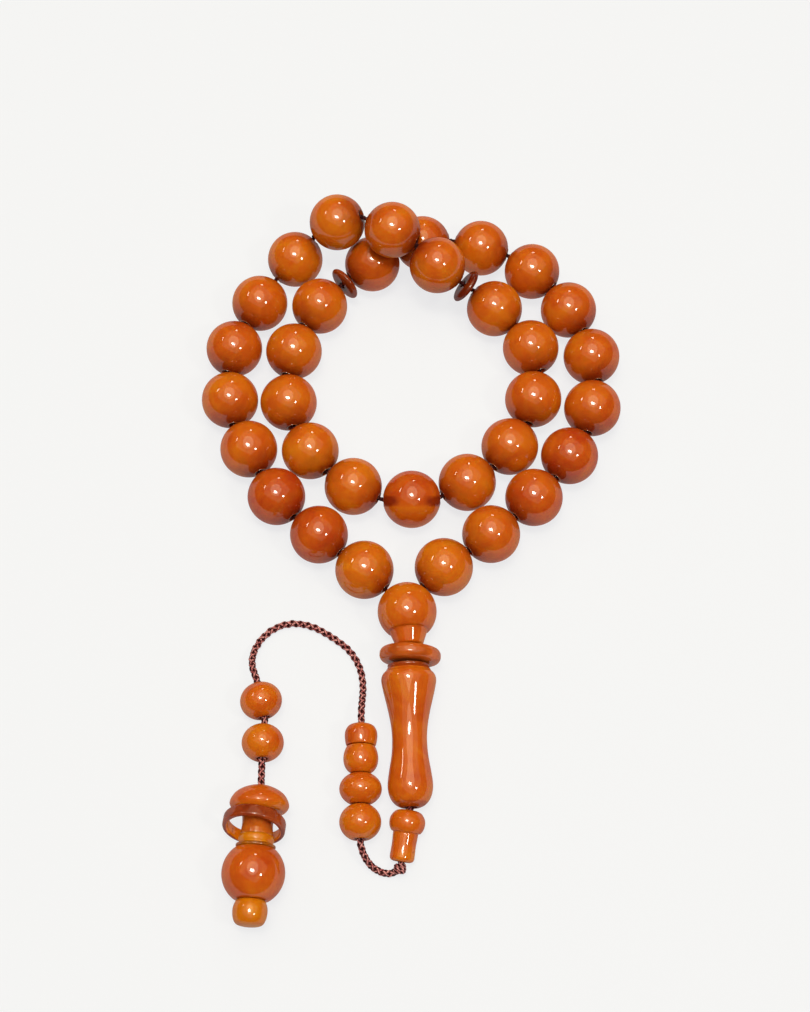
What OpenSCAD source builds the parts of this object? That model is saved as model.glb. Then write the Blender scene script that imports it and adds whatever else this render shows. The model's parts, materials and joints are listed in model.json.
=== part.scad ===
// Misbaha prayer beads, lying on a table in a double loop with the tassel laid out.
// +Z is up and Z = 0 is the table. +Y runs from the tassel's finial to the far end of the loop.

/* [Loop beads] */
// Number of beads in one run of the loop
run_beads = 11; // [11:1:11]
// Diameter of a loop bead
bead_d = 14; // [13:0.1:14.1]
// Length of a loop bead along its bore, between its small end flats
bead_l = 13.8; // [12.6:0.1:13.9]
// Diameter of a loop bead's bore
bead_bore_d = 1.8; // [1.4:0.1:2.2]
// Clear space between neighbouring beads on the cord
bead_gap = 0.4; // [0.35:0.05:0.45]
// Diameter of a separator disc
separator_d = 9; // [7:0.1:10]
// Thickness of a separator disc
separator_t = 2; // [1.6:0.1:2.2]

/* [Cord] */
// Diameter of the thin cord inside the loop beads
string_d = 1.1; // [0.8:0.1:1.2]
// Diameter of the plaited tassel cord
cord_d = 1.8; // [1.5:0.1:2]
// Sides of each ring of a cord's tube
cord_sides = 8; // [6:2:12]

/* [Imam] */
// Diameter of the imam's head
head_d = 14; // [13:0.1:14]
// Diameter of the loose disc under the head
disc_d = 14.4; // [12:0.1:14.4]
// Thickness of the loose disc
disc_t = 3.6; // [3:0.1:3.6]
// Diameter of the bore through the imam
imam_bore_d = 3; // [2.8:0.1:3.2]

/* [Tassel beads] */
// Diameter of the round bead at the bottom of the stack
round_bead_d = 9.6; // [8:0.1:9.8]
// Length of the round bead along its bore
round_bead_l = 7.9; // [7:0.1:7.9]
// Diameter of the flattened bead above it
flat_bead_d = 9.8; // [8:0.1:9.8]
// Length of the flattened bead along its bore
flat_bead_l = 7; // [6:0.1:7]
// Diameter of each bead of the pair
pair_bead_d = 9.8; // [8:0.1:9.8]
// Length of each bead of the pair along its bore
pair_bead_l = 8.3; // [7:0.1:8.4]
// Diameter of the bores of the tassel's beads
tassel_bore_d = 2.5; // [2.4:0.1:3]

/* [Finial] */
// Diameter of the finial's ball
ball_d = 14.3; // [13.2:0.1:14.3]
// Diameter of the finial's domed cap
cap_d = 13.6; // [13:0.1:13.6]
// Outer diameter of the loose ring
ring_d = 14.3; // [14:0.1:14.3]
// Inner diameter of the loose ring
ring_inner_d = 11.8; // [11.4:0.1:12]
// Width of the loose ring along its axis
ring_w = 2.9; // [2:0.1:2.9]

/* [Hidden] */
string_r = string_d / 2;
cord_r = cord_d / 2;
bead_r = bead_d / 2;

// Middle of the imam's head, where the loop closes.
head_c = [-1.2, -16.6, 7.05];

// Centre line of the loop's cord, from the head's left hole round twice to its right hole.
// It rises over itself at the far end, where the first run of beads rides on the third.
strand_route = [
  head_c,
  [-11.5, -6, 7],
  [-22.5, 3, 7],
  [-33, 13, 7],
  [-40, 25.5, 7],
  [-45, 38.5, 7],
  [-44.5, 52.5, 7],
  [-38.5, 65.5, 7],
  [-30, 78, 7],
  [-19, 83.5, 16.4],
  [-4.5, 79, 20.1],
  [6.5, 71.5, 15.8],
  [21, 64, 7],
  [30, 52.5, 7],
  [30, 38.5, 7],
  [24, 26, 7],
  [13.5, 16.5, 7],
  [0, 12, 7],
  [-14.5, 15.5, 7],
  [-25, 25, 7],
  [-30.5, 38, 7],
  [-29.5, 52, 7],
  [-23.5, 64.5, 7],
  [-10, 77, 7],
  [3, 83, 7],
  [18, 81.5, 7],
  [31, 74.5, 7],
  [40, 63, 7],
  [45, 50, 7],
  [44.5, 36, 7],
  [38.5, 23.5, 7],
  [29.5, 12.5, 7],
  [19, 3, 7],
  [7.5, -5.5, 7],
  head_c
];
// Distance along the cord from the head's middle to the first bead's middle.
first_step = 14.6;
// Extra slack in the cord: after which piece of the strand, and how much.
slack = [[2, 0.2], [3, 0.2], [7, 1.1], [8, 1.2], [9, 0.8], [11, 0.9], [12, 1.1],
         [18, 0.4], [23, 0.7], [24, 0.7], [26, 0.8], [27, 0.4]];
// Straight steps between the route's points when it is drawn as a smooth curve.
route_steps = 12;

// Free route of the plaited tassel cord, from the knot under the tail, through the stack and
// over the table in an arc, through the pair and into the finial.
tassel_route = [
  [-2.9, -76.1, 2],
  [-3.8, -76.7, 1.4],
  [-5.1, -77.1, 1],
  [-6.5, -77, 1.1],
  [-7.9, -76.5, 1.5],
  [-9.1, -75.8, 2.2],
  [-10.1, -74.8, 3],
  [-10.9, -73.6, 3.8],
  [-11.5, -72.1, 4.5],
  [-11.8, -70.5, 4.9],
  [-11.85, -68.9, 4.95],
  [-11.85, -40.8, 4.95],
  [-11.8, -39.2, 4.5],
  [-11.7, -37.2, 3.3],
  [-11.6, -35.2, 2],
  [-11.6, -33.2, 1.2],
  [-11.8, -31.2, 1],
  [-12.2, -29.3, 1],
  [-13.1, -27.1, 1],
  [-14.3, -25.2, 1],
  [-15.9, -23.4, 1],
  [-18, -21.8, 1],
  [-20.4, -20.2, 1],
  [-22.9, -18.8, 1],
  [-25.6, -17.9, 1],
  [-28.4, -17.6, 1],
  [-31.2, -18.1, 1],
  [-33.8, -19.5, 1],
  [-36, -21.7, 1.1],
  [-37.3, -24.3, 1.7],
  [-37.8, -27, 2.8],
  [-37.5, -29.5, 4],
  [-36.7, -31.8, 4.8]
];

function unit(v) = v / norm(v);
function nth(list, i) = list[max(0, min(len(list) - 1, i))];

// A smooth curve through the points, with the ends kept.
function spline_point(a, b, c, d, t) =
  0.5 * (2 * b + (c - a) * t + (2 * a - 5 * b + 4 * c - d) * t * t
  + (3 * b - a - 3 * c + d) * t * t * t);
function spline(points, steps) = [
  for (i = [0:len(points) - 2], k = [0:steps - 1])
    spline_point(nth(points, i - 1), points[i], points[i + 1], nth(points, i + 2), k / steps),
  points[len(points) - 1]
];

// The strand's smooth curve, no lower than a bead's middle above the table.
strand_curve = [
  for (p = spline(strand_route, route_steps))
    [p.x, p.y, max(p.z, bead_r)]
];

// Pieces threaded on the strand, in order: -1 and -2 are the separators, the rest are beads.
bead_count = 3 * run_beads;
strand_pieces = [
  for (i = [1:bead_count]) each (i % run_beads == 0 && i < bead_count) ? [i, -i / run_beads] : [i]
];
function piece_l(n) = strand_pieces[n] > 0 ? bead_l : separator_t;
function slack_after(n) =
  let(found = [for (s = slack) if (s[0] == n + 1) s[1]]) len(found) > 0 ? found[0] : 0;
function spacing(n) = (piece_l(n) + piece_l(n + 1)) / 2 + bead_gap + slack_after(n);

// The first point at distance d from p, going along the curve from its segment k.
function reach(p, k, d) =
  k >= len(strand_curve) - 2 || norm(strand_curve[k + 1] - p) >= d
    ? let(u = strand_curve[k + 1] - strand_curve[k], w = strand_curve[k] - p,
          a = u * u, b = 2 * w * u, c = w * w - d * d,
          t = (-b + sqrt(max(0, b * b - 4 * a * c))) / (2 * a))
      [strand_curve[k] + t * u, k]
    : reach(p, k + 1, d);
strand_marks = [
  for (n = 0, m = reach(head_c, 0, first_step); n < len(strand_pieces);
       m = n < len(strand_pieces) - 1 ? reach(m[0], m[1], spacing(n)) : m, n = n + 1)
    m[0]
];
// Where each piece of the strand sits, and the direction of its bore.
function strand_at(n) = n < 0 || n >= len(strand_marks) ? head_c : strand_marks[n];
function strand_dir(n) =
  unit(unit(strand_at(n + 1) - strand_at(n)) + unit(strand_at(n) - strand_at(n - 1)));
function strand_place(id) = search(id, strand_pieces)[0];

// The imam's pieces: middle or end of each, and the direction from its top to its tail.
disc_c = [-0.5, -27.5, 7.25];
disc_dir = unit([-0.05, -1, -0.06]);
head_dir = unit(disc_c - head_c);
body_top = [-0.9, -29.85, 7];
body_end = [-0.4, -62.9, 4.95];
body_dir = unit(body_end - body_top);
body_l = norm(body_end - body_top);
tip_c = [-1.15, -65.95, 4.2];
tip_dir = unit([-1.4, -9.1, -1.4]);
// How far the tip reaches from the middle of its dome, to its top and to the end of its tail.
tip_up = 2.6;
tip_down = 9.1;
head_neck = 8.5;
head_cavity_r = 2.2;
head_knot_r = 1.9;
side_bore_r = 1;
// How far from the head's middle the side bores flare and the thin cord first bends.
head_mouth = 6.5;
bead_flare = 1.1;
separator_flare = 0.3;

// The tassel's stack runs along -Y at one height, and the pair lies to its left.
stack_x = -11.85;
stack_z = 4.95;
round_bead_y = -66.2;
flat_bead_y = -58.6;
acorn_y = -51.55;
acorn_down = 3.4;
acorn_up = 2.9;
cap_bead_y = -45.65;
cap_bead_down = 2.85;
cap_bead_up = 2.3;
pair_high_c = [-35.2, -37.8, 4.95];
pair_high_dir = unit([2, -9.5, 0]);
pair_low_c = [-34.5, -47.8, 4.95];

// The finial: middle of its ball, and the direction from the ball to its cap.
ball_c = [-35.55, -78.2, 7.17];
finial_dir = unit([0.055, 1, -0.02]);
// Places along the finial's axis, measured from the middle of the ball towards the cap.
cap_mid = 15.6;
cap_under = 13.9;
cap_top = 19.9;
flange_low = 5.6;
flange_high = 6.5;
flange_d = 9;
collar_high = 8.6;
tip_bead_high = -5.9;
tip_bead_mid = -8.2;
tip_bead_low = -11.8;
neck_bore_r = 1.6;
// The neck's tenons: a long one through the collar into the ball, and a short one in the cap.
tenon_low = 4;
tenon_r = 2.4;
cap_tenon_r = 2.15;
cap_tenon_l = 1.1;
tenon_gap = 0.05;
finial_knot_r = 1.4;
// The ring stands on the table and leans its top against the cap.
ring_c = [-35.7, -67.3, 7.15];
ring_lean = 18;
ring_turn = -6;
cap_hole = ball_c + cap_top * finial_dir;
pair_low_dir = unit(cap_hole - pair_low_c);

// Puts the children's +Z along a direction, at a place.
module along(place, dir) {
  translate(place) rotate([0, acos(dir.z), atan2(dir.y, dir.x)]) children();
}

// A round rod about Z, half its length each way.
module rod(r, l) {
  translate([0, 0, -l / 2]) cylinder(r = r, h = l, $fn = 48);
}

// A bore right through a piece of length l, with both its mouths flared.
module bore(r, l, flare) {
  rod(r, 2 * l);
  for (turn = [0, 180])
    rotate([turn, 0, 0]) translate([0, 0, l / 2 - flare])
      cylinder(r1 = r, r2 = r + 2 * flare, h = 2 * flare, $fn = 48);
}

// A turned solid about Z: its outline is a smooth curve of [radius, height] points, low to high.
module turned(outline) {
  rotate_extrude($fn = 96)
    polygon(concat([[0, outline[0].y]], spline(outline, 4), [[0, outline[len(outline) - 1].y]]));
}

// A flattened ball about Z, cut off at half its length each way.
module flattened(d, l, roundness) {
  steps = 14;
  rise = asin(roundness);
  rotate_extrude($fn = 96)
    polygon(concat(
      [[0, -l / 2]],
      [for (k = [-steps:steps]) let(a = k / steps * rise) [d / 2 * cos(a), l / 2 * sin(a) / roundness]],
      [[0, l / 2]]
    ));
}

// A disc about Z with a full round rim.
module round_disc(d, t) {
  rotate_extrude($fn = 96) {
    translate([0, -t / 2]) square([(d - t) / 2, t]);
    translate([(d - t) / 2, 0]) circle(r = t / 2, $fn = 48);
  }
}

// A round tube along a route, with one ring of corners at each of the route's points.
function tube_corners(route, r) = let(last = len(route) - 1) [
  for (i = [0:last])
    let(ahead = i < last ? unit(route[i + 1] - route[i]) : unit(route[i] - route[i - 1]),
        behind = i > 0 ? unit(route[i] - route[i - 1]) : ahead,
        t = unit(ahead + behind),
        u = unit(cross([0, 0, 1], t)),
        v = cross(t, u))
    for (k = [0:cord_sides - 1])
      let(a = (k + 0.5) * 360 / cord_sides)
      route[i] + r * (cos(a) * u + sin(a) * v)
];
module tube(route, r) {
  n = cord_sides;
  last = (len(route) - 1) * n;
  polyhedron(
    points = tube_corners(route, r),
    faces = concat(
      [[for (k = [0:n - 1]) k]],
      [for (i = [0:len(route) - 2], k = [0:n - 1])
        [i * n + k, (i + 1) * n + k, (i + 1) * n + (k + 1) % n, i * n + (k + 1) % n]],
      [[for (k = [n - 1:-1:0]) last + k]]
    ),
    convexity = 8
  );
}

// ---- loop ----

function bead_name(i) = str("bead_", i < 10 ? "0" : "", i);

module bead(i) {
  n = strand_place(i);
  color("#c8640f") along(strand_at(n), strand_dir(n)) difference() {
    intersection() {
      sphere(r = bead_r, $fn = 96);
      rod(bead_r, bead_l);
    }
    bore(bead_bore_d / 2, bead_l, bead_flare);
  }
}

module separator(k) {
  n = strand_place(-k);
  color("#a0481a") along(strand_at(n), strand_dir(n)) difference() {
    round_disc(separator_d, separator_t);
    bore(bead_bore_d / 2, separator_t, separator_flare);
  }
}

// The thin cord: it is straight inside each bead and bends in the gaps between them.
function strand_stop(n) = 0.455 * piece_l(n);
function end_dir(n) = unit(strand_at(n) - head_c);
last_mark = len(strand_marks) - 1;
string_route = concat(
  [head_c + 0.7 * head_knot_r * end_dir(0), head_c + head_mouth * end_dir(0)],
  [for (n = [0:last_mark], side = [-1, 1]) strand_at(n) + side * strand_stop(n) * strand_dir(n)],
  [head_c + head_mouth * end_dir(last_mark), head_c + 0.7 * head_knot_r * end_dir(last_mark)]
);
module stringing_cord() {
  color("#5a2424") tube(string_route, string_r);
}

// ---- imam ----

// The head's outline: a ball cut off square, and a tapering neck set in a little from the cut.
head_cut = 4.9;
cut_angle = acos(2 * head_cut / head_d);
head_outline = concat(
  [for (a = [180:-(180 - cut_angle) / 40:cut_angle]) head_d / 2 * [sin(a), cos(a)]],
  [[4.5, head_cut], [3.3, head_neck - 0.4], [3.1, head_neck], [0, head_neck]]
);

module imam_head() {
  color("#c8640f") difference() {
    along(head_c, head_dir) rotate_extrude($fn = 96) polygon(head_outline);
    translate(head_c) sphere(r = head_cavity_r, $fn = 48);
    along(head_c, head_dir) cylinder(d = imam_bore_d, h = head_d, $fn = 48);
    for (end = [0, last_mark]) along(head_c, end_dir(end)) {
      cylinder(r = side_bore_r, h = head_d, $fn = 48);
      translate([0, 0, head_mouth - 0.2]) cylinder(r1 = side_bore_r, r2 = 3, h = 2, $fn = 48);
    }
  }
}

module imam_disc() {
  color("#a0481a") along(disc_c, disc_dir) difference() {
    round_disc(disc_d, disc_t);
    rod(imam_bore_d / 2 + 0.4, head_d);
  }
}

module imam_body() {
  color("#c05c10") along(body_top, body_dir) difference() {
    turned([
      [4.95, 0], [4.85, 0.5], [5.2, 1.15], [5.35, 1.45], [6, 2.1], [6.4, 3.1], [6.35, 4.4],
      [5.75, 7.2], [4.9, 10.8], [4.25, 14.4], [4.05, 17.6], [4.25, 21], [4.8, 24.4],
      [5.2, 27.4], [5.1, 29.4], [4.5, 31.2], [3.4, 32.6], [2, body_l]
    ]);
    translate([0, 0, body_l / 2]) rod(imam_bore_d / 2, 2 * body_l);
  }
}

module imam_tip() {
  color("#c8640f") along(tip_c, tip_dir) difference() {
    union() {
      turned([
        [1.8, -tip_up], [3.1, -2.1], [3.95, -0.9], [4.14, 0.2], [3.95, 1.4], [3.45, 2.3],
        [2.5, 2.9]
      ]);
      turned([
        [2.85, 1], [2.9, 3], [2.8, 5.2], [2.85, 7.6], [2.8, 8.4], [2.5, 8.9], [1.9, tip_down]
      ]);
    }
    rod(imam_bore_d / 2, 4 * tip_down);
  }
}

module head_knot() {
  color("#4a1c1c") translate(head_c) sphere(r = head_knot_r, $fn = 32);
}

// The plaited cord inside the imam, bent a little at each joint between its pieces.
tail_knot_c = [-2.85, -76.2, 2.2];
tail_knot_r = 1.6;
imam_cord_end = tip_c + tip_down * tip_dir;
imam_route = [
  head_c + 0.7 * head_knot_r * head_dir,
  head_c + (head_neck + 0.1) * head_dir,
  body_top - 0.1 * body_dir,
  (body_top + body_end) / 2,
  body_end + 0.05 * body_dir,
  tip_c - (tip_up + 0.05) * tip_dir,
  imam_cord_end,
  tail_knot_c - 0.5 * tail_knot_r * tip_dir
];
module imam_cord() {
  color("#5a2424") tube(imam_route, cord_r);
}

// ---- tassel ----

module stack_piece(y) {
  along([stack_x, y, stack_z], [0, -1, 0]) difference() {
    children();
    rod(tassel_bore_d / 2, 2 * head_d);
  }
}

module tassel_round_bead() {
  color("#c8640f") stack_piece(round_bead_y) flattened(round_bead_d, round_bead_l, 0.9);
}

module tassel_flat_bead() {
  color("#c8640f") stack_piece(flat_bead_y) flattened(flat_bead_d, flat_bead_l, 0.88);
}

module tassel_acorn() {
  color("#c8640f") stack_piece(acorn_y)
    turned([
      [3.35, -acorn_up], [3.85, -1.5], [4.05, 0], [3.8, 1.5], [3.2, 2.6], [2.3, acorn_down]
    ]);
}

module tassel_cap() {
  color("#c05c10") stack_piece(cap_bead_y)
    turned([
      [1.7, -cap_bead_up], [2.9, -1.8], [3.6, -0.8], [3.8, 0.3], [3.7, 1.6],
      [3.45, cap_bead_down]
    ]);
}

module pair_bead(place, dir) {
  color("#c8640f") along(place, dir) difference() {
    flattened(pair_bead_d, pair_bead_l, 0.93);
    rod(tassel_bore_d / 2, 2 * head_d);
  }
}

module pair_bead_high() {
  pair_bead(pair_high_c, pair_high_dir);
}

module pair_bead_low() {
  pair_bead(pair_low_c, pair_low_dir);
}

module tail_knot() {
  color("#4a1c1c") translate(tail_knot_c) sphere(r = tail_knot_r, $fn = 32);
}

// ---- finial ----

module on_finial() {
  along(ball_c, finial_dir) children();
}

module finial_cap() {
  color("#cc6a12") on_finial() difference() {
    turned([
      [5.2, cap_under], [6, 14.2], [6.5, 14.8], [cap_d / 2, cap_mid], [6.5, 16.7], [5.6, 18],
      [4.2, 19], [2.6, 19.7], [1.3, cap_top]
    ]);
    rod(cord_r + 0.15, 3 * cap_d);
    translate([0, 0, cap_under])
      rod(cap_tenon_r + tenon_gap, 2 * (cap_tenon_l + 2 * tenon_gap));
  }
}

module finial_neck() {
  color("#b04c18") on_finial() difference() {
    union() {
      turned([[3.7, collar_high], [3.6, 9.6], [3.5, 11], [3.65, 12.6], [4.2, cap_under]]);
      translate([0, 0, tenon_low]) cylinder(r = tenon_r, h = collar_high - tenon_low, $fn = 48);
      translate([0, 0, cap_under]) cylinder(r = cap_tenon_r, h = cap_tenon_l, $fn = 48);
    }
    rod(neck_bore_r, 4 * cap_mid);
  }
}

module finial_collar() {
  color("#d98a14") on_finial() difference() {
    union() {
      translate([0, 0, (flange_low + flange_high) / 2])
        round_disc(flange_d, flange_high - flange_low);
      turned([[3.7, flange_low], [3.8, 6.6], [4.05, 7.3], [4, 8.1], [3.8, collar_high]]);
    }
    rod(tenon_r + tenon_gap, 2 * cap_d);
  }
}

module finial_ball() {
  color("#c8640f") on_finial() difference() {
    intersection() {
      sphere(d = ball_d, $fn = 96);
      translate([0, 0, tip_bead_high]) cylinder(r = ball_d, h = flange_low - tip_bead_high, $fn = 48);
    }
    translate([0, 0, tenon_low - tenon_gap])
      cylinder(r = tenon_r + tenon_gap, h = ball_d, $fn = 48);
    rod(neck_bore_r, 2 * ball_d);
  }
}

module finial_tip() {
  color("#d98a14") on_finial() {
    turned([
      [1.6, tip_bead_low], [3, -11.3], [3.75, -10], [3.95, tip_bead_mid], [3.65, -6.9],
      [3, tip_bead_high]
    ]);
    translate([0, 0, tip_bead_high]) cylinder(r = neck_bore_r - 0.02, h = 3, $fn = 48);
  }
}

module finial_ring() {
  wall = (ring_d - ring_inner_d) / 2;
  middle = (ring_d + ring_inner_d) / 4;
  reach_out = (ring_w - wall) / 2;
  color("#a0481a") translate(ring_c) rotate([90 - ring_lean, 0, 0]) rotate([0, ring_turn, 0])
    rotate_extrude($fn = 96) {
      translate([middle - wall / 2, -reach_out]) square([wall, 2 * reach_out]);
      for (side = [-1, 1]) translate([middle, side * reach_out]) circle(d = wall, $fn = 48);
    }
}

finial_knot_c = ball_c + 2 * finial_dir;
module finial_knot() {
  color("#4a1c1c") translate(finial_knot_c) sphere(r = finial_knot_r, $fn = 32);
}

// The plaited tassel cord: free over the table, and straight inside its beads and the finial.
pair_half = pair_bead_l / 2 + 0.05;
pair_travel = 0.8;
cord_route = concat(
  tassel_route,
  [pair_high_c - pair_half * pair_high_dir, pair_high_c + (pair_half + pair_travel) * pair_high_dir],
  [pair_low_c - pair_half * pair_low_dir, cap_hole, finial_knot_c + finial_dir]
);
module tassel_cord() {
  color("#5a2424") tube(cord_route, cord_r);
}

BEADS = [for (i = [1:bead_count]) bead_name(i)];

for (i = [1:bead_count]) bead(i);
separator(1);  // separator_1
separator(2);  // separator_2
stringing_cord();
imam_head();
imam_disc();
imam_body();
imam_tip();
head_knot();
imam_cord();
tail_knot();
tassel_cord();
tassel_round_bead();
tassel_flat_bead();
tassel_acorn();
tassel_cap();
pair_bead_high();
pair_bead_low();
finial_cap();
finial_neck();
finial_collar();
finial_ball();
finial_tip();
finial_ring();
finial_knot();
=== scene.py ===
import json
import math

import bpy
from mathutils import Matrix, Vector, noise


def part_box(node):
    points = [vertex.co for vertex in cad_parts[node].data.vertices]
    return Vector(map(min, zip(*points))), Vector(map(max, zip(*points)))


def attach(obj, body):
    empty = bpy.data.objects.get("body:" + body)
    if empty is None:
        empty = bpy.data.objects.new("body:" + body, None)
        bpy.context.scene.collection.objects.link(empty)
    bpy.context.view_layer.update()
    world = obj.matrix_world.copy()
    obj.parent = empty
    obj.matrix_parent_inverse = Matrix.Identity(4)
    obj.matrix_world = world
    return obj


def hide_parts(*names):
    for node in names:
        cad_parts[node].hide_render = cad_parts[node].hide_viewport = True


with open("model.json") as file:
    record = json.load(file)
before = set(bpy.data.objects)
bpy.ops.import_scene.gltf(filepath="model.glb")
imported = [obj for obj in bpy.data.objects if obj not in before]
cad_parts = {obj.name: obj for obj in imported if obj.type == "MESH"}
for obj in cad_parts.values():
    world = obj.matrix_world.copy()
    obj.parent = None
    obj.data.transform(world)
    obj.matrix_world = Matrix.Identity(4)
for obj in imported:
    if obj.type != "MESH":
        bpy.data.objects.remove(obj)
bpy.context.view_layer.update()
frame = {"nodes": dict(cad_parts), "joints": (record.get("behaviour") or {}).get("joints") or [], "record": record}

# Outlines, bores and what goes through mm() are in millimetres. All other lengths are in metres.
# The camera looks down on the misbaha from its tassel's side, and the tassel lies along -Y.
MM = 0.001


def mm(*xyz):
    return Vector(xyz) * MM


# ---- camera ----

CAMERA_TILT = math.radians(22)
CAMERA_DISTANCE = 442.5 * MM
CAMERA_TARGET = mm(-1.7, 13.1, 0)
FOCAL_SHARE = 1800 / 1012


def make_camera():
    data = bpy.data.cameras.new("camera")
    data.sensor_fit = "VERTICAL"
    data.sensor_height = 24
    data.lens = FOCAL_SHARE * data.sensor_height
    data.clip_start = 0.01
    camera = bpy.data.objects.new("camera", data)
    towards = Vector((0, -math.sin(CAMERA_TILT), math.cos(CAMERA_TILT)))
    camera.location = CAMERA_TARGET + CAMERA_DISTANCE * towards
    camera.rotation_euler = (CAMERA_TILT, 0, 0)
    bpy.context.scene.collection.objects.link(camera)
    bpy.context.scene.camera = camera


make_camera()

# ---- places, from the frame ----

JOINTS = {j["name"]: j for j in frame["joints"]}


def joint_place(name):
    return Vector(JOINTS[name]["pos_m"])


def joint_axis(name):
    return Vector(JOINTS[name]["axis"]).normalized()


def middle(node):
    low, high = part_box(node)
    return (low + high) / 2


BODY_OF = {n: b for b, nodes in frame["record"]["behaviour"]["bodies"].items() for n in nodes}
ROOT = BODY_OF["imam_head"]
HEAD = middle("head_knot")
DISC = joint_place("imam_disc_spin")
HEAD_AXIS = (DISC - HEAD).normalized()
FINIAL_AXIS = Vector((0.055, 1, -0.02)).normalized()
BALL = middle("finial_knot") - 2 * MM * FINIAL_AXIS


# ---- curves ----

def smooth_curve(points, steps):
    """A Catmull-Rom curve through the points, with the ends kept."""
    out = []
    last = len(points) - 1
    for i in range(last):
        a, b, c, d = points[max(i - 1, 0)], points[i], points[i + 1], points[min(i + 2, last)]
        for k in range(steps):
            t = k / steps
            out.append(0.5 * (2 * b + (c - a) * t + (2 * a - 5 * b + 4 * c - d) * t * t
                              + (3 * b - a - 3 * c + d) * t ** 3))
    out.append(points[last].copy())
    return out


def even_points(points, step):
    """Points at even steps along a line of straight pieces, with both ends kept."""
    lengths = [0.0]
    for a, b in zip(points, points[1:]):
        lengths.append(lengths[-1] + (b - a).length)
    count = max(2, round(lengths[-1] / step))
    out = []
    k = 0
    for i in range(count + 1):
        d = lengths[-1] * i / count
        while k < len(points) - 2 and lengths[k + 1] < d:
            k += 1
        span = lengths[k + 1] - lengths[k]
        out.append(points[k].lerp(points[k + 1], (d - lengths[k]) / span if span else 0))
    return out


def filled(points, longest):
    """The same points, with more put in where two are further apart than longest."""
    out = [points[0]]
    for a, b in zip(points, points[1:]):
        parts = max(1, math.ceil((b - a).length / longest))
        out += [a.lerp(b, k / parts) for k in range(1, parts + 1)]
    return out


def curve_length(points):
    return sum((b - a).length for a, b in zip(points, points[1:]))


def carried_frames(points):
    """At each point the direction ahead and two directions across, carried along without twist."""
    out = []
    side = None
    last = len(points) - 1
    for i, p in enumerate(points):
        ahead = (points[min(i + 1, last)] - points[max(i - 1, 0)]).normalized()
        if side is None:
            side = ahead.orthogonal()
        side = (side - ahead * side.dot(ahead)).normalized()
        out.append((p, ahead, side, ahead.cross(side)))
    return out


# ---- cords ----

def new_mesh(name, vertices, faces, values):
    """A smooth mesh object, with a number at each vertex for each name in values."""
    data = bpy.data.meshes.new(name)
    data.from_pydata(vertices, [], faces)
    data.validate()
    for key, numbers in values.items():
        data.attributes.new(key, "FLOAT", "POINT").data.foreach_set("value", numbers)
    data.shade_smooth()
    piece = bpy.data.objects.new(name, data)
    bpy.context.scene.collection.objects.link(piece)
    return piece


def strand_rings(frames, place, width, thickness, sides):
    """Rings of an oval strand: place(i) gives its angle and radius about the cord's middle."""
    centres = []
    outward = []
    for i, (p, ahead, side, across) in enumerate(frames):
        angle, radius = place(i)
        out = math.cos(angle) * side + math.sin(angle) * across
        centres.append(p + radius * out)
        outward.append(out)
    rings = []
    last = len(centres) - 1
    for i, c in enumerate(centres):
        ahead = (centres[min(i + 1, last)] - centres[max(i - 1, 0)]).normalized()
        out = (outward[i] - ahead * outward[i].dot(ahead)).normalized()
        wide = ahead.cross(out)
        rings.append([c + width * math.cos(a) * wide + thickness * math.sin(a) * out
                      for a in (2 * math.pi * k / sides for k in range(sides))])
    return rings


def back_shares(sides):
    """How far each vertex of a strand's ring is on the strand's outer side, from 0 to 1."""
    return [max(0.0, math.sin(2 * math.pi * k / sides)) for k in range(sides)]


def tube_faces(first, rings, sides):
    """Faces of a closed tube whose rings of vertices start at number first."""
    faces = [tuple(first + k for k in range(sides))[::-1]]
    for i in range(rings - 1):
        for k in range(sides):
            a = first + i * sides + k
            b = first + i * sides + (k + 1) % sides
            faces.append((a, b, b + sides, a + sides))
    faces.append(tuple(first + (rings - 1) * sides + k for k in range(sides)))
    return faces


def plaited_cord(name, path, radius, pitch, strands, sides=8):
    """A round plait about a core: half its strands wind each way, over and under in turn."""
    frames = carried_frames(path)
    step = curve_length(path) / (len(path) - 1)
    thickness = 0.24 * radius
    width = 0.36 * radius
    sway = 0.16 * radius
    mid = radius - thickness - sway
    core = 0.55 * radius
    rings = strand_rings(frames, lambda i: (0.0, 0.0), core, core, sides)
    vertices = [v for ring in rings for v in ring]
    faces = tube_faces(0, len(rings), sides)
    # The core has no back share, so it shows the painted shade colour where it shows between the strands.
    backs = [0.0] * len(vertices)
    along = [0.0] * len(vertices)
    for way in (1, -1):
        for k in range(strands):
            start = 2 * math.pi * k / strands

            def place(i):
                turn = 2 * math.pi * i * step / pitch
                return way * turn + start, mid + way * sway * math.cos(strands * turn)

            rings = strand_rings(frames, place, width, thickness, sides)
            faces += tube_faces(len(vertices), len(rings), sides)
            for i, ring in enumerate(rings):
                vertices += ring
                backs += back_shares(sides)
                along += [i * step / radius + 10 * k + 5 * way] * sides
    return new_mesh(name, vertices, faces, {"back": backs, "along": along})


def twisted_cord(name, path, radius, pitch, strands, paleness=1.0, sides=8):
    """A cord of round strands laid up together."""
    frames = carried_frames(path)
    step = curve_length(path) / (len(path) - 1)
    strand = radius / (1 + 1 / math.sin(math.pi / strands))
    vertices, faces, backs, along = [], [], [], []
    for k in range(strands):
        start = 2 * math.pi * k / strands

        def place(i):
            return start + 2 * math.pi * i * step / pitch, radius - strand

        rings = strand_rings(frames, place, strand, strand, sides)
        faces += tube_faces(len(vertices), len(rings), sides)
        for i, ring in enumerate(rings):
            vertices += ring
            backs += [paleness * share for share in back_shares(sides)]
            along += [i * step / radius + 10 * k] * sides
    return new_mesh(name, vertices, faces, {"back": backs, "along": along})


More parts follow.
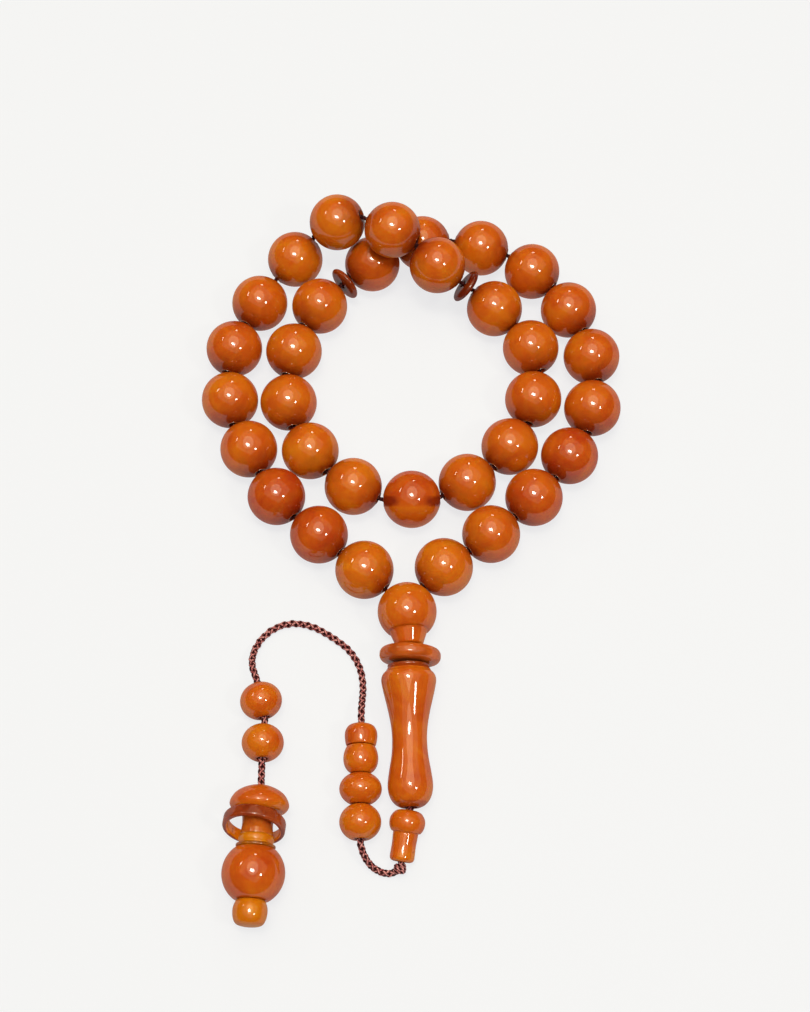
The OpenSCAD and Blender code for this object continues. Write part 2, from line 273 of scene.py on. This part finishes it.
CORD_R = 0.9 * MM
STRING_R = 0.55 * MM
PLAIT_PITCH = 5.6 * MM
PAIR_HIGH = middle("pair_bead_high")
PAIR_LOW = middle("pair_bead_low")
PAIR_HIGH_AXIS = joint_axis("pair_bead_high_slide")
PAIR_LOW_AXIS = joint_axis("pair_bead_low_slide")
PAIR_HALF = 4.2 * MM
PAIR_HIGH_PLAY = 0.8 * MM
CAP_HOLE = BALL + 19.9 * MM * FINIAL_AXIS

# The tassel cord's free route: from the knot under the imam's tail up through the stack of
# small beads, over the table in an arc, and down through the pair into the finial.
TASSEL_ROUTE = [
    mm(-2.9, -76.1, 2), mm(-3.8, -76.7, 1.4), mm(-5.1, -77.1, 1), mm(-6.5, -77, 1.1),
    mm(-7.9, -76.5, 1.5), mm(-9.1, -75.8, 2.2), mm(-10.1, -74.8, 3), mm(-10.9, -73.6, 3.8),
    mm(-11.5, -72.1, 4.5), mm(-11.8, -70.5, 4.9), mm(-11.85, -68.9, 4.95),
    mm(-11.85, -40.8, 4.95), mm(-11.8, -39.2, 4.5), mm(-11.7, -37.2, 3.3), mm(-11.6, -35.2, 2),
    mm(-11.6, -33.2, 1.2), mm(-11.8, -31.2, 1), mm(-12.2, -29.3, 1), mm(-13.1, -27.1, 1),
    mm(-14.3, -25.2, 1), mm(-15.9, -23.4, 1), mm(-18, -21.8, 1), mm(-20.4, -20.2, 1),
    mm(-22.9, -18.8, 1), mm(-25.6, -17.9, 1), mm(-28.4, -17.6, 1), mm(-31.2, -18.1, 1),
    mm(-33.8, -19.5, 1), mm(-36, -21.7, 1.1), mm(-37.3, -24.3, 1.7), mm(-37.8, -27, 2.8),
    mm(-37.5, -29.5, 4), mm(-36.7, -31.8, 4.8),
    PAIR_HIGH - PAIR_HALF * PAIR_HIGH_AXIS,
    PAIR_HIGH + (PAIR_HALF + PAIR_HIGH_PLAY) * PAIR_HIGH_AXIS,
    PAIR_LOW - PAIR_HALF * PAIR_LOW_AXIS, CAP_HOLE, BALL + 3 * MM * FINIAL_AXIS,
]


def make_tassel_cord():
    path = even_points(smooth_curve(filled(TASSEL_ROUTE, 2.5 * MM), 6), 0.22 * MM)
    cord = plaited_cord("tassel_plait", path, CORD_R, pitch=PLAIT_PITCH, strands=3)
    cord.data.materials.append(cord_material("tassel_cord"))
    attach(cord, ROOT)
    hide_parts("tassel_cord")


def strand_names():
    """The loop's pieces in the order in which they are threaded."""
    beads = ["bead_%02d" % i for i in range(1, 34)]
    return beads[:11] + ["separator_1"] + beads[11:22] + ["separator_2"] + beads[22:]


# How far from the middle of the head the cords leave its knot and its side holes.
KNOT_EDGE = 1.4 * MM
SIDE_HOLE = 6.5 * MM
# Half the length over which the string runs straight through a bead and a separator.
BEAD_REACH = 6.28 * MM
SEPARATOR_REACH = 0.91 * MM


def make_loop_string():
    names = strand_names()
    first = (joint_place(names[0] + "_spin") - HEAD).normalized()
    last = (joint_place(names[-1] + "_spin") - HEAD).normalized()
    points = [HEAD + KNOT_EDGE * first, HEAD + SIDE_HOLE * first]
    for name in names:
        reach = BEAD_REACH if name.startswith("bead") else SEPARATOR_REACH
        for side in (-1, 1):
            points.append(joint_place(name + "_spin") + side * reach * joint_axis(name + "_spin"))
    points += [HEAD + SIDE_HOLE * last, HEAD + KNOT_EDGE * last]
    path = even_points(smooth_curve(filled(points, 1.6 * MM), 4), 0.3 * MM)
    string = twisted_cord("loop_string", path, STRING_R, pitch=2.6 * MM, strands=3,
                          paleness=0.35, sides=6)
    string.data.materials.append(cord_material("loop_string"))
    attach(string, ROOT)
    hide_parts("stringing_cord")


# Where the imam's cord bends, along the axis of each piece from that piece's joint.
NECK_END = 8.6 * MM
BODY_TOP = -0.1 * MM
BODY_END = 33.2 * MM
TIP_TOP = -2.6 * MM
TIP_END = 9.1 * MM


def make_imam_cord():
    top = joint_place("imam_body_spin")
    down = joint_axis("imam_body_spin")
    tip = joint_place("imam_tip_spin")
    tip_down = joint_axis("imam_tip_spin")
    points = [HEAD + KNOT_EDGE * HEAD_AXIS, HEAD + NECK_END * HEAD_AXIS,
              top + BODY_TOP * down, top + BODY_END * down,
              tip + TIP_TOP * tip_down, tip + TIP_END * tip_down,
              middle("tail_knot") - 0.8 * MM * tip_down]
    path = even_points(filled(points, 2 * MM), 0.25 * MM)
    cord = plaited_cord("imam_plait", path, CORD_R, pitch=PLAIT_PITCH, strands=3)
    cord.data.materials.append(cord_material("imam_cord"))
    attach(cord, ROOT)
    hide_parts("imam_cord")


TAIL_KNOT_TURNS = 3
TAIL_KNOT_R = 0.9 * MM
TAIL_KNOT_LENGTH = 1.8 * MM
TAIL_KNOT_STEPS = 96


def make_tail_knot():
    """Turns of the cord pulled tight about itself."""
    centre = middle("tail_knot")
    axis = joint_axis("imam_tip_spin")
    side = axis.orthogonal().normalized()
    across = axis.cross(side)
    points = []
    for k in range(TAIL_KNOT_STEPS + 1):
        share = k / TAIL_KNOT_STEPS
        angle = 2 * math.pi * TAIL_KNOT_TURNS * share
        radius = TAIL_KNOT_R * (1 - 0.25 * (2 * share - 1) ** 2)
        points.append(centre + radius * (math.cos(angle) * side + math.sin(angle) * across)
                      + (share - 0.5) * TAIL_KNOT_LENGTH * axis)
    path = even_points(points, 0.12 * MM)
    knot = twisted_cord("tail_knot_turns", path, 0.62 * MM, pitch=2.2 * MM, strands=3)
    knot.data.materials.append(cord_material("tail_knot"))
    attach(knot, ROOT)
    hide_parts("tail_knot")


# ---- materials ----

class Shader:
    """A new material's node tree, with short ways to add and join nodes."""

    def __init__(self, name):
        self.material = bpy.data.materials.new(name)
        self.material.use_nodes = True
        self.tree = self.material.node_tree
        self.surface = self.tree.nodes["Principled BSDF"]

    def add(self, kind, inputs=None, **settings):
        made = self.tree.nodes.new("ShaderNode" + kind)
        for key, value in settings.items():
            setattr(made, key, value)
        for key, value in (inputs or {}).items():
            self.put(made.inputs[key], value)
        return made

    def put(self, socket, value):
        if isinstance(value, bpy.types.NodeSocket):
            self.tree.links.new(value, socket)
        else:
            socket.default_value = value

    def attribute(self, name):
        return self.add("Attribute", attribute_name=name).outputs["Fac"]

    def math(self, operation, a, b=0.0, clamp=False):
        return self.add("Math", {0: a, 1: b}, operation=operation, use_clamp=clamp).outputs[0]

    def mix(self, share, a, b):
        return self.add("MixRGB", {"Fac": share, "Color1": a, "Color2": b}).outputs[0]

    def spread(self, value, low, high, to_low=0.0, to_high=1.0):
        """A value stretched from low..high to to_low..to_high, and kept inside."""
        return self.add("MapRange", {"Value": value, "From Min": low, "From Max": high,
                                     "To Min": to_low, "To Max": to_high}).outputs[0]

    def ramp(self, value, stops):
        made = self.add("ValToRGB", {"Fac": value})
        elements = made.color_ramp.elements
        while len(elements) < len(stops):
            elements.new(0.5)
        for element, (position, colour) in zip(elements, stops):
            element.position = position
            element.color = colour
        return made.outputs[0]

    def noise(self, where, scale, seed=None, **more):
        inputs = {"Vector": where, "Scale": scale}
        inputs.update(more)
        made = self.add("TexNoise", {}, noise_dimensions="4D" if seed is not None else "3D")
        if seed is not None:
            inputs["W"] = seed
        for key, value in inputs.items():
            self.put(made.inputs[key], value)
        return made.outputs[0]


def srgb(code):
    """A linear colour from a hex code such as c8600f."""
    parts = [int(code[i:i + 2], 16) / 255 for i in (0, 2, 4)]
    linear = [p / 12.92 if p <= 0.04045 else ((p + 0.055) / 1.055) ** 2.4 for p in parts]
    return tuple(linear) + (1.0,)


AMBER_ROUGHNESS = 0.2
# The share of the Voronoi cells that hold no pit.
PIT_FREE = 0.86


def amber_material(name, deep, mid, glow, shade_and_pit_colour):
    """Cloudy polished amber. tone shifts a piece's colour, and painted shade darkens it at its holes, where the
    pieces meet, and in shaded bands; the same dark colour fills the pits.
    """
    s = Shader(name)
    where = s.add("TexCoord").outputs["Object"]
    seed = s.attribute("seed")
    tone = s.attribute("tone")
    stain = s.attribute("stain")
    swirl = s.noise(where, 105.0, seed, Detail=3.0, Roughness=0.5, Distortion=1.4)
    cloud = s.noise(where, 330.0, seed, Detail=5.0, Roughness=0.6, Distortion=0.8)
    value = s.math("ADD", s.spread(swirl, 0.3, 0.7, -0.22, 0.22),
                   s.spread(cloud, 0.3, 0.7, -0.1, 0.1))
    value = s.math("ADD", value, tone, clamp=True)
    colour = s.ramp(value, [(0.0, srgb(deep)), (0.45, srgb(mid)), (1.0, srgb(glow))])
    # Painted shade: a ragged mix towards the dark colour near the holes, where the pieces meet, and in shaded
    # bands.
    ragged = s.math("ADD", stain, s.spread(cloud, 0.35, 0.65, -0.13, 0.13))
    colour = s.mix(s.spread(ragged, 0.15, 0.8, 0.0, 0.85), colour, srgb(shade_and_pit_colour))
    cells = s.add("TexVoronoi", {"Vector": where, "Scale": 420.0})
    chance = s.add("SeparateColor", {"Color": cells.outputs["Color"]}).outputs[0]
    chosen = s.math("GREATER_THAN", chance, PIT_FREE)
    pit = s.math("MULTIPLY", s.spread(cells.outputs["Distance"], 0.05, 0.11, 1.0, 0.0), chosen)
    colour = s.mix(s.math("MULTIPLY", pit, 0.75), colour, srgb(shade_and_pit_colour))
    s.put(s.surface.inputs["Base Color"], colour)
    s.put(s.surface.inputs["Roughness"],
          s.spread(cloud, 0.3, 0.7, AMBER_ROUGHNESS - 0.05, AMBER_ROUGHNESS + 0.07))
    lift = s.math("SUBTRACT", s.math("MULTIPLY", cloud, 0.25), pit)
    bump = s.add("Bump", {"Height": lift, "Strength": 0.15, "Distance": 0.0001})
    s.put(s.surface.inputs["Normal"], bump.outputs[0])
    s.surface.inputs["IOR"].default_value = 1.5
    s.surface.inputs["Specular IOR Level"].default_value = 0.0
    s.surface.inputs["Subsurface Weight"].default_value = 0.3
    s.surface.inputs["Subsurface Radius"].default_value = (1.0, 0.38, 0.1)
    s.surface.inputs["Subsurface Scale"].default_value = 0.0035
    s.surface.inputs["Coat Weight"].default_value = 0.3
    s.surface.inputs["Coat IOR"].default_value = 2.2
    s.surface.inputs["Coat Roughness"].default_value = 0.025
    s.surface.inputs["Coat Tint"].default_value = (1.0, 0.86, 0.6, 1.0)
    return s.material


def cord_material(name):
    """Silky yarn: salmon on the backs of the strands, with painted shade in near-black maroon between them."""
    s = Shader(name)
    where = s.add("TexCoord").outputs["Object"]
    back = s.attribute("back")
    along = s.attribute("along")
    flecks = s.noise(where, 1500.0, Detail=3.0)
    fibres = s.add("TexNoise", {"W": s.math("MULTIPLY", along, 2.2), "Scale": 1.0, "Detail": 2.0},
                   noise_dimensions="1D").outputs[0]
    # Painted shade: the near-black maroon stands for the shade between the strands.
    gap_shade = s.mix(s.spread(flecks, 0.4, 0.65), srgb("1c0104"), srgb("3a040a"))
    pale = s.mix(s.spread(flecks, 0.35, 0.6), srgb("9c4248"), srgb("dc9c9c"))
    share = s.math("ADD", s.spread(back, 0.6, 1.0), s.spread(fibres, 0.35, 0.65, -0.2, 0.1),
                   clamp=True)
    s.put(s.surface.inputs["Base Color"], s.mix(share, gap_shade, pale))
    bump = s.add("Bump", {"Height": flecks, "Strength": 0.5, "Distance": 0.00008})
    s.put(s.surface.inputs["Normal"], bump.outputs[0])
    s.surface.inputs["Roughness"].default_value = 0.62
    s.surface.inputs["Specular IOR Level"].default_value = 0.1
    s.surface.inputs["Sheen Weight"].default_value = 0.03
    s.surface.inputs["Sheen Roughness"].default_value = 0.4
    return s.material


AMBER = amber_material("amber", "a0350e", "b85810", "c67a10", "74200a")
DARK_AMBER = amber_material("dark_amber", "5c1c08", "8c3a10", "c0601c", "2c0a04")
HONEY_AMBER = amber_material("honey_amber", "8c3e08", "ba6808", "c88808", "5a2208")
RING_AMBER = amber_material("ring_amber", "742a0c", "9c4820", "d47808", "401406")

# ---- turned pieces ----


def turned_mesh(name, outline, seed, tone, hollow, wobble=0.03, segments=64, shade_reach=0.0,
                bands=()):
    """A piece turned about Z from an outline of (radius, height) points in millimetres.
    A hollow piece's outline is a closed loop, and a solid one's starts and ends on the axis.
    Each band is a stretch of heights, in millimetres, and how strongly painted shade darkens it."""
    low = min(h for _, h in outline)
    high = max(h for _, h in outline)
    vertices, stain = [], []
    for r, h in outline:
        for k in range(segments):
            a = 2 * math.pi * k / segments
            p = Vector((math.cos(a) * r, math.sin(a) * r, h))
            spot = p * 0.16 + Vector((seed * 7.3, seed * 3.1, seed))
            swell = wobble * noise.noise(spot) + 0.06 * wobble * noise.noise(spot * 3.7)
            grown = r + (swell if r > 1.5 else 0)
            vertices.append(Vector((math.cos(a) * grown, math.sin(a) * grown, h + 0.5 * swell)) * MM)
            # Painted shade: vertices near the ends, close to the bore where the pieces meet, and in the bands get
            # a share of the dark colour.
            near_end = min(h - low, high - h) < 0.45 * (high - low)
            share = max(0.0, 1 - (r - 1.0) / shade_reach) if shade_reach and near_end else 0.0
            for band_low, band_high, strength in bands:
                if band_low <= h <= band_high:
                    share = max(share, strength)
            stain.append(share)
    faces = []
    rings = len(outline)
    for i in range(rings if hollow else rings - 1):
        j = (i + 1) % rings
        for k in range(segments):
            n = (k + 1) % segments
            faces.append((i * segments + k, i * segments + n, j * segments + n, j * segments + k))
    values = {"seed": [seed] * len(vertices), "tone": [tone] * len(vertices), "stain": stain}
    return new_mesh(name, vertices, faces, values)


def with_bore(outer, bore, lip, steps=4):
    """A closed outline: outer runs from the low end's face to the high end's, and the bore's
    wall is added with a rounded lip at each mouth."""
    low = outer[0][1]
    high = outer[-1][1]
    quarter = [k / steps * math.pi / 2 for k in range(steps + 1)]
    top = [(bore + lip - lip * math.sin(a), high - lip + lip * math.cos(a)) for a in quarter]
    bottom = [(bore + lip - lip * math.cos(a), low + lip - lip * math.sin(a)) for a in quarter]
    wall = [(bore, high - lip + (low + lip - high + lip) * k / 8) for k in range(1, 8)]
    return list(outer) + top + wall + bottom


def smooth_outline(points, steps=5):
    return [(p.x, p.y) for p in smooth_curve([Vector((r, h, 0)) for r, h in points], steps)]


def ball_outline(radius, half_length, steps=40):
    """The outer line of a ball with its two ends cut flat."""
    rise = math.asin(half_length / radius)
    return [(radius * math.cos(a), radius * math.sin(a))
            for a in (rise * (2 * k / steps - 1) for k in range(steps + 1))]


def flat_ball_outline(diameter, length, roundness, steps=36):
    """The outer line of a flattened ball with its two ends cut flat."""
    rise = math.asin(roundness)
    return [(diameter / 2 * math.cos(a), length / 2 * math.sin(a) / roundness)
            for a in (rise * (2 * k / steps - 1) for k in range(steps + 1))]


def place_piece(piece, place, axis, node, material):
    """Puts a piece made about Z in its place, and in place of its CAD node."""
    turn = Vector(axis).to_track_quat("Z", "Y").to_matrix().to_4x4()
    piece.matrix_world = Matrix.Translation(place) @ turn
    piece.data.materials.append(material)
    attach(piece, BODY_OF[node])
    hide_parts(node)


# Each loop bead's tone, from the reddest, 0, to the yellowest, 1, in threading order.
BEAD_TONES = [
    0.62, 0.28, 0.16, 0.45, 0.52, 0.38, 0.48, 0.55, 0.6, 0.52, 0.5,
    0.53, 0.46, 0.44, 0.44, 0.51, 0.2, 0.55, 0.62, 0.44, 0.52, 0.5,
    0.34, 0.36, 0.48, 0.42, 0.42, 0.42, 0.36, 0.24, 0.32, 0.48, 0.6,
]

CLEAR_BEAD = "bead_17"
CLEAR_BEAD_UP = Vector((0, 0.92, 0.39))


def make_beads():
    for i, tone in enumerate(BEAD_TONES):
        node = "bead_%02d" % (i + 1)
        outline = with_bore(ball_outline(radius=6.97, half_length=6.86), bore=0.9, lip=0.7)
        piece = turned_mesh(node + "_ball", outline, seed=i + 1.0, tone=tone, hollow=True,
                            wobble=0.05, shade_reach=6.5)
        place_piece(piece, joint_place(node + "_spin"), joint_axis(node + "_spin"), node,
                    AMBER)
        if node == CLEAR_BEAD:
            paint_clear_bead_glow_and_shade(piece)


def paint_clear_bead_glow_and_shade(piece):
    """The clearest bead: painted shade marks where its bore would show through, on the side it turns up, and its
    lower half is painted yellower as a painted glow.
    """
    glow_tones, bore_shades = [], []
    for v in piece.data.vertices:
        place = piece.matrix_world @ v.co - piece.matrix_world.translation
        height = place.dot(CLEAR_BEAD_UP) / MM
        across = abs(v.co.z) / MM
        # Painted glow: the lower half is painted yellower. Painted shade: a dark band where the bore would show
        # through, on the upper side.
        glow_tones.append(0.2 if height > -1.5 else 0.5)
        near_bore = max(0.0, 1 - abs(height + 0.4) / 1.5) if place.z > 0 else 0.0
        bore_shades.append(1.3 * near_bore ** 0.5 * min(1.0, max(0.0, (across - 2.2) / 3)))
    piece.data.attributes["tone"].data.foreach_set("value", glow_tones)
    piece.data.attributes["stain"].data.foreach_set("value", bore_shades)


def make_separators():
    for k in (1, 2):
        node = "separator_%d" % k
        outer = smooth_outline([(1.5, -0.93), (2.6, -0.95), (3.5, -0.86), (4.2, -0.5), (4.46, 0),
                                (4.2, 0.5), (3.5, 0.86), (2.6, 0.95), (1.5, 0.93)])
        piece = turned_mesh(node + "_disc", with_bore(outer, bore=0.9, lip=0.2), seed=40.0 + k,
                            tone=0.25 * k - 0.15, hollow=True, shade_reach=1.5)
        place_piece(piece, joint_place(node + "_spin"), joint_axis(node + "_spin"), node,
                    DARK_AMBER)


HEAD_R = 6.98
# Height at which the neck leaves the head, and the angle below the middle where the head ends.
HEAD_CUT = 4.87
HEAD_END_ANGLE = 1.36


def make_imam():
    cone = [(3.34 + 1.12 * k / 6, 8 - 3 * k / 6) for k in range(1, 7)]
    neck = [(2.9, 8.48), (3.2, 8.36), (3.34, 8)] + cone
    cut = math.asin(HEAD_CUT / HEAD_R)
    ball = [(HEAD_R * math.cos(a), HEAD_R * math.sin(a))
            for a in (cut - (cut + HEAD_END_ANGLE) * k / 40 for k in range(41))]
    outline = with_bore((neck + [(4.54, 4.91), (4.8, 4.89)] + ball)[::-1], bore=1.5, lip=0.25)
    piece = turned_mesh("imam_head_ball", outline, seed=50.0, tone=0.5, hollow=True, shade_reach=2.0)
    place_piece(piece, HEAD, HEAD_AXIS, "imam_head", AMBER)

    outer = smooth_outline([
        (2.6, -1.76), (4.6, -1.78), (5.7, -1.72), (6.6, -1.4), (7.1, -0.7), (7.18, 0), (7.1, 0.7),
        (6.6, 1.4), (5.7, 1.72), (4.6, 1.78), (2.6, 1.76)
    ])
    piece = turned_mesh("imam_disc_turned", with_bore(outer, bore=1.9, lip=0.3), seed=51.0,
                        tone=0.75, hollow=True, shade_reach=1.5)
    place_piece(piece, DISC, joint_axis("imam_disc_spin"), "imam_disc", DARK_AMBER)

    outer = smooth_outline([
        (4.4, 0), (4.9, 0.06), (4.83, 0.5), (5.17, 1.15), (5.32, 1.45), (5.98, 2.1), (6.38, 3.1),
        (6.33, 4.4), (5.73, 7.2), (4.88, 10.8), (4.23, 14.4), (4.03, 17.6), (4.23, 21), (4.78, 24.4),
        (5.18, 27.4), (5.08, 29.4), (4.48, 31.2), (3.38, 32.5), (2.2, 33.1)
    ])
    # The bands are painted shade: in the recessed collar at the top and at the lower end.
    piece = turned_mesh("imam_body_turned", with_bore(outer, bore=1.5, lip=0.3), seed=52.0, tone=0.42,
                        hollow=True, shade_reach=1.8, bands=[(-1, 1.2, 0.7), (31.8, 34, 0.45)])
    place_piece(piece, joint_place("imam_body_spin"), joint_axis("imam_body_spin"), "imam_body",
                AMBER)

    outer = smooth_outline([
        (1.9, -2.58), (3.05, -2.1), (3.9, -0.9), (4.1, 0.2), (3.92, 1.4), (3.45, 2.25), (3.2, 2.42),
        (2.95, 2.5), (2.87, 2.75), (2.87, 3.3), (2.77, 5.2), (2.82, 7.6), (2.77, 8.35), (2.46, 8.85),
        (1.9, 9.08)
    ])
    piece = turned_mesh("imam_tip_turned", with_bore(outer, bore=1.5, lip=0.25), seed=53.0, tone=0.5,
                        hollow=True, shade_reach=1.5)
    place_piece(piece, joint_place("imam_tip_spin"), joint_axis("imam_tip_spin"), "imam_tip",
                AMBER)


# The axis of the stack's beads, which points to the camera's side of the table.
DOWN = Vector((0, -1, 0))


def make_tassel_bead(node, outer, place, axis, tone, seed):
    piece = turned_mesh(node + "_turned", with_bore(outer, bore=1.25, lip=0.25), seed=seed, tone=tone,
                        hollow=True, shade_reach=1.6)
    place_piece(piece, place, axis, node, AMBER)


def make_tassel_beads():
    make_tassel_bead("tassel_round_bead", flat_ball_outline(9.56, 7.86, 0.9),
                     middle("tassel_round_bead"), DOWN, 0.5, 60.0)
    make_tassel_bead("tassel_flat_bead", flat_ball_outline(9.76, 6.96, 0.88),
                     middle("tassel_flat_bead"), DOWN, 0.5, 61.0)
    low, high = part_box("tassel_acorn")
    acorn = Vector(((low.x + high.x) / 2, low.y + 3.4 * MM, (low.z + high.z) / 2))
    make_tassel_bead("tassel_acorn", smooth_outline([
        (2.9, -2.88), (3.3, -2.78), (3.83, -1.5), (4.03, 0), (3.78, 1.5), (3.18, 2.6), (2.3, 3.36)
    ]), acorn, DOWN, 0.5, 62.0)
    low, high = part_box("tassel_cap")
    cap = Vector(((low.x + high.x) / 2, low.y + 2.85 * MM, (low.z + high.z) / 2))
    make_tassel_bead("tassel_cap", smooth_outline([
        (1.8, -2.28), (2.9, -1.8), (3.58, -0.8), (3.78, 0.3), (3.68, 1.6), (3.43, 2.7), (3, 2.82)
    ]), cap, DOWN, 0.45, 63.0)
    pair = flat_ball_outline(9.76, 8.26, 0.93)
    make_tassel_bead("pair_bead_high", pair, PAIR_HIGH, PAIR_HIGH_AXIS, 0.55, 64.0)
    make_tassel_bead("pair_bead_low", pair, PAIR_LOW, PAIR_LOW_AXIS, 0.55, 65.0)


FINIAL_BALL_R = 7.13


def make_finial():
    """The finial's pieces, with heights along its axis from the middle of the ball."""
    def put(node, outline, tone, seed, hollow, slot, material, **more):
        piece = turned_mesh(node + "_turned", outline, seed=seed, tone=tone, hollow=hollow, **more)
        place_piece(piece, BALL, FINIAL_AXIS, node, material)

    outer = smooth_outline([
        (5, 13.93), (5.5, 13.98), (6, 14.22), (6.5, 14.82), (6.77, 15.6), (6.47, 16.7), (5.6, 17.98),
        (4.2, 18.98), (2.6, 19.66), (1.9, 19.82)
    ])
    put("finial_cap", with_bore(outer, bore=1.15, lip=0.3), 0.55, 70.0, True, "amber", AMBER)
    outer = smooth_outline([(2.1, 8.65), (3.4, 8.62), (3.68, 8.68), (3.58, 9.6), (3.48, 11), (3.63, 12.6),
                            (4.15, 13.85), (2.1, 13.88)])
    put("finial_neck", with_bore(outer, bore=1.6, lip=0.2), 0.6, 71.0, True, "dark_amber", RING_AMBER)
    outer = smooth_outline([
        (3, 5.64), (4.15, 5.64), (4.47, 5.85), (4.47, 6.25), (4.15, 6.46), (3.82, 6.58), (3.88, 6.9),
        (4.03, 7.3), (3.98, 8.1), (3.7, 8.56), (3, 8.58)
    ])
    # The band is painted shade on the flange.
    put("finial_collar", with_bore(outer, bore=2.45, lip=0.15), 0.5, 72.0, True, "honey_amber",
        HONEY_AMBER, bands=[(5.5, 6.5, 0.6)])
    low, high = -5.9, 5.6
    a_low, a_high = math.asin(low / FINIAL_BALL_R), math.asin(high / FINIAL_BALL_R)
    outer = [(FINIAL_BALL_R * math.cos(a), FINIAL_BALL_R * math.sin(a))
             for a in (a_low + (a_high - a_low) * k / 40 for k in range(41))]
    put("finial_ball", with_bore(outer, bore=1.6, lip=0.2), 0.4, 73.0, True, "amber", AMBER)
    outline = smooth_outline([
        (0.01, -11.76), (1.5, -11.72), (2.98, -11.28), (3.72, -10), (3.92, -8.2), (3.63, -6.9),
        (3, -5.95), (1.5, -5.92), (1.5, -2.95), (0.01, -2.93)
    ])
    put("finial_tip", outline, 0.5, 74.0, False, "honey_amber", HONEY_AMBER)


RING_MID_R = 6.525
RING_WALL = 1.25
RING_HEIGHT = 2.9
RING_LEAN = math.radians(90 - 18)
RING_TURN = math.radians(-6)


def make_ring():
    """The loose ring. Its section has straight sides and a half-round at each end."""
    node = "finial_ring"
    reach = (RING_HEIGHT - RING_WALL) / 2
    rim = 0.995 * RING_WALL / 2
    steps = 12
    outline = []
    for end in (1, -1):
        for k in range(steps + 1):
            a = math.pi * k / steps
            outline.append((RING_MID_R + end * rim * math.cos(a), end * (reach + rim * math.sin(a))))
    piece = turned_mesh("finial_ring_turned", outline, seed=75.0, tone=0.5, hollow=True, segments=96)
    tilt = Matrix.Rotation(RING_LEAN, 4, "X") @ Matrix.Rotation(RING_TURN, 4, "Y")
    piece.matrix_world = Matrix.Translation(joint_place("ring_tilt")) @ tilt
    # Painted glow: the ring's inner face is painted yellowest, and its outer face redder.
    inside = (RING_MID_R - 0.3) * MM
    glow_tones = [1.0 if v.co.xy.length < inside else 0.15 for v in piece.data.vertices]
    piece.data.attributes["tone"].data.foreach_set("value", glow_tones)
    piece.data.materials.append(RING_AMBER)
    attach(piece, BODY_OF[node])
    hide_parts(node)


# ---- light and floor ----

def make_floor():
    """A pale floor, a hair below the object, that glows enough to hide most of its shadows."""
    side = 3.0
    data = bpy.data.meshes.new("floor")
    corners = [(-side, -side, 0), (side, -side, 0), (side, side, 0), (-side, side, 0)]
    data.from_pydata(corners, [], [(0, 1, 2, 3)])
    floor = bpy.data.objects.new("floor", data)
    floor.location.z = -0.05 * MM
    bpy.context.scene.collection.objects.link(floor)
    s = Shader("floor")
    s.surface.inputs["Base Color"].default_value = (0.12, 0.12, 0.12, 1)
    s.surface.inputs["Roughness"].default_value = 0.9
    s.surface.inputs["Specular IOR Level"].default_value = 0.0
    s.surface.inputs["Emission Color"].default_value = (0.965, 0.98, 1, 1)
    s.surface.inputs["Emission Strength"].default_value = 0.775
    data.materials.append(s.material)


WARM = (1.0, 0.9, 0.74)
GOLDEN = (1.0, 0.86, 0.58)


def area_light(name, direction, distance, size, power, shape="ELLIPSE", colour=(1.0, 0.97, 0.9)):
    """A light that shines on the origin from a distance in the given direction."""
    data = bpy.data.lights.new(name, "AREA")
    data.energy = power
    data.color = colour
    data.shape = shape
    data.size, data.size_y = size
    light = bpy.data.objects.new(name, data)
    towards = Vector(direction).normalized()
    light.location = towards * distance
    light.rotation_euler = towards.to_track_quat("Z", "Y").to_euler()
    bpy.context.scene.collection.objects.link(light)


def make_lights():
    area_light("key", (-0.03, -0.06, 1), 1.0, (0.3, 0.19), 4.2)
    area_light("key_glow", (0, 0.1, 1), 1.02, (0.75, 0.95), 4.2, colour=GOLDEN)
    area_light("softbox", (0.06, 0.09, 1), 1.1, (2.0, 2.0), 9.6, shape="RECTANGLE", colour=GOLDEN)
    area_light("second", (0.49, -0.3, 0.82), 1.0, (0.13, 0.13), 1.9)
    area_light("left_strip", (-0.671, 0.347, 0.657), 1.0, (0.26, 0.06), 0.7, colour=WARM)
    area_light("far_spot", (0.087, 0.851, 0.517), 1.0, (0.12, 0.12), 0.5, colour=WARM)
    world = bpy.data.worlds.new("studio")
    world.use_nodes = True
    world.node_tree.nodes["Background"].inputs["Color"].default_value = (1, 1, 1, 1)
    world.node_tree.nodes["Background"].inputs["Strength"].default_value = 0.06
    bpy.context.scene.world = world


# The knots inside the head and the finial stay as CAD nodes, in the cords' material.
for hidden in ("head_knot", "finial_knot"):
    cad_node = frame["nodes"][hidden]
    cad_node.data.materials.clear()
    cad_node.data.materials.append(cord_material(hidden))
make_tassel_cord()
make_loop_string()
make_imam_cord()
make_tail_knot()
make_beads()
make_separators()
make_imam()
make_tassel_beads()
make_finial()
make_ring()
make_floor()
make_lights()
bpy.context.scene.view_settings.view_transform = "Standard"
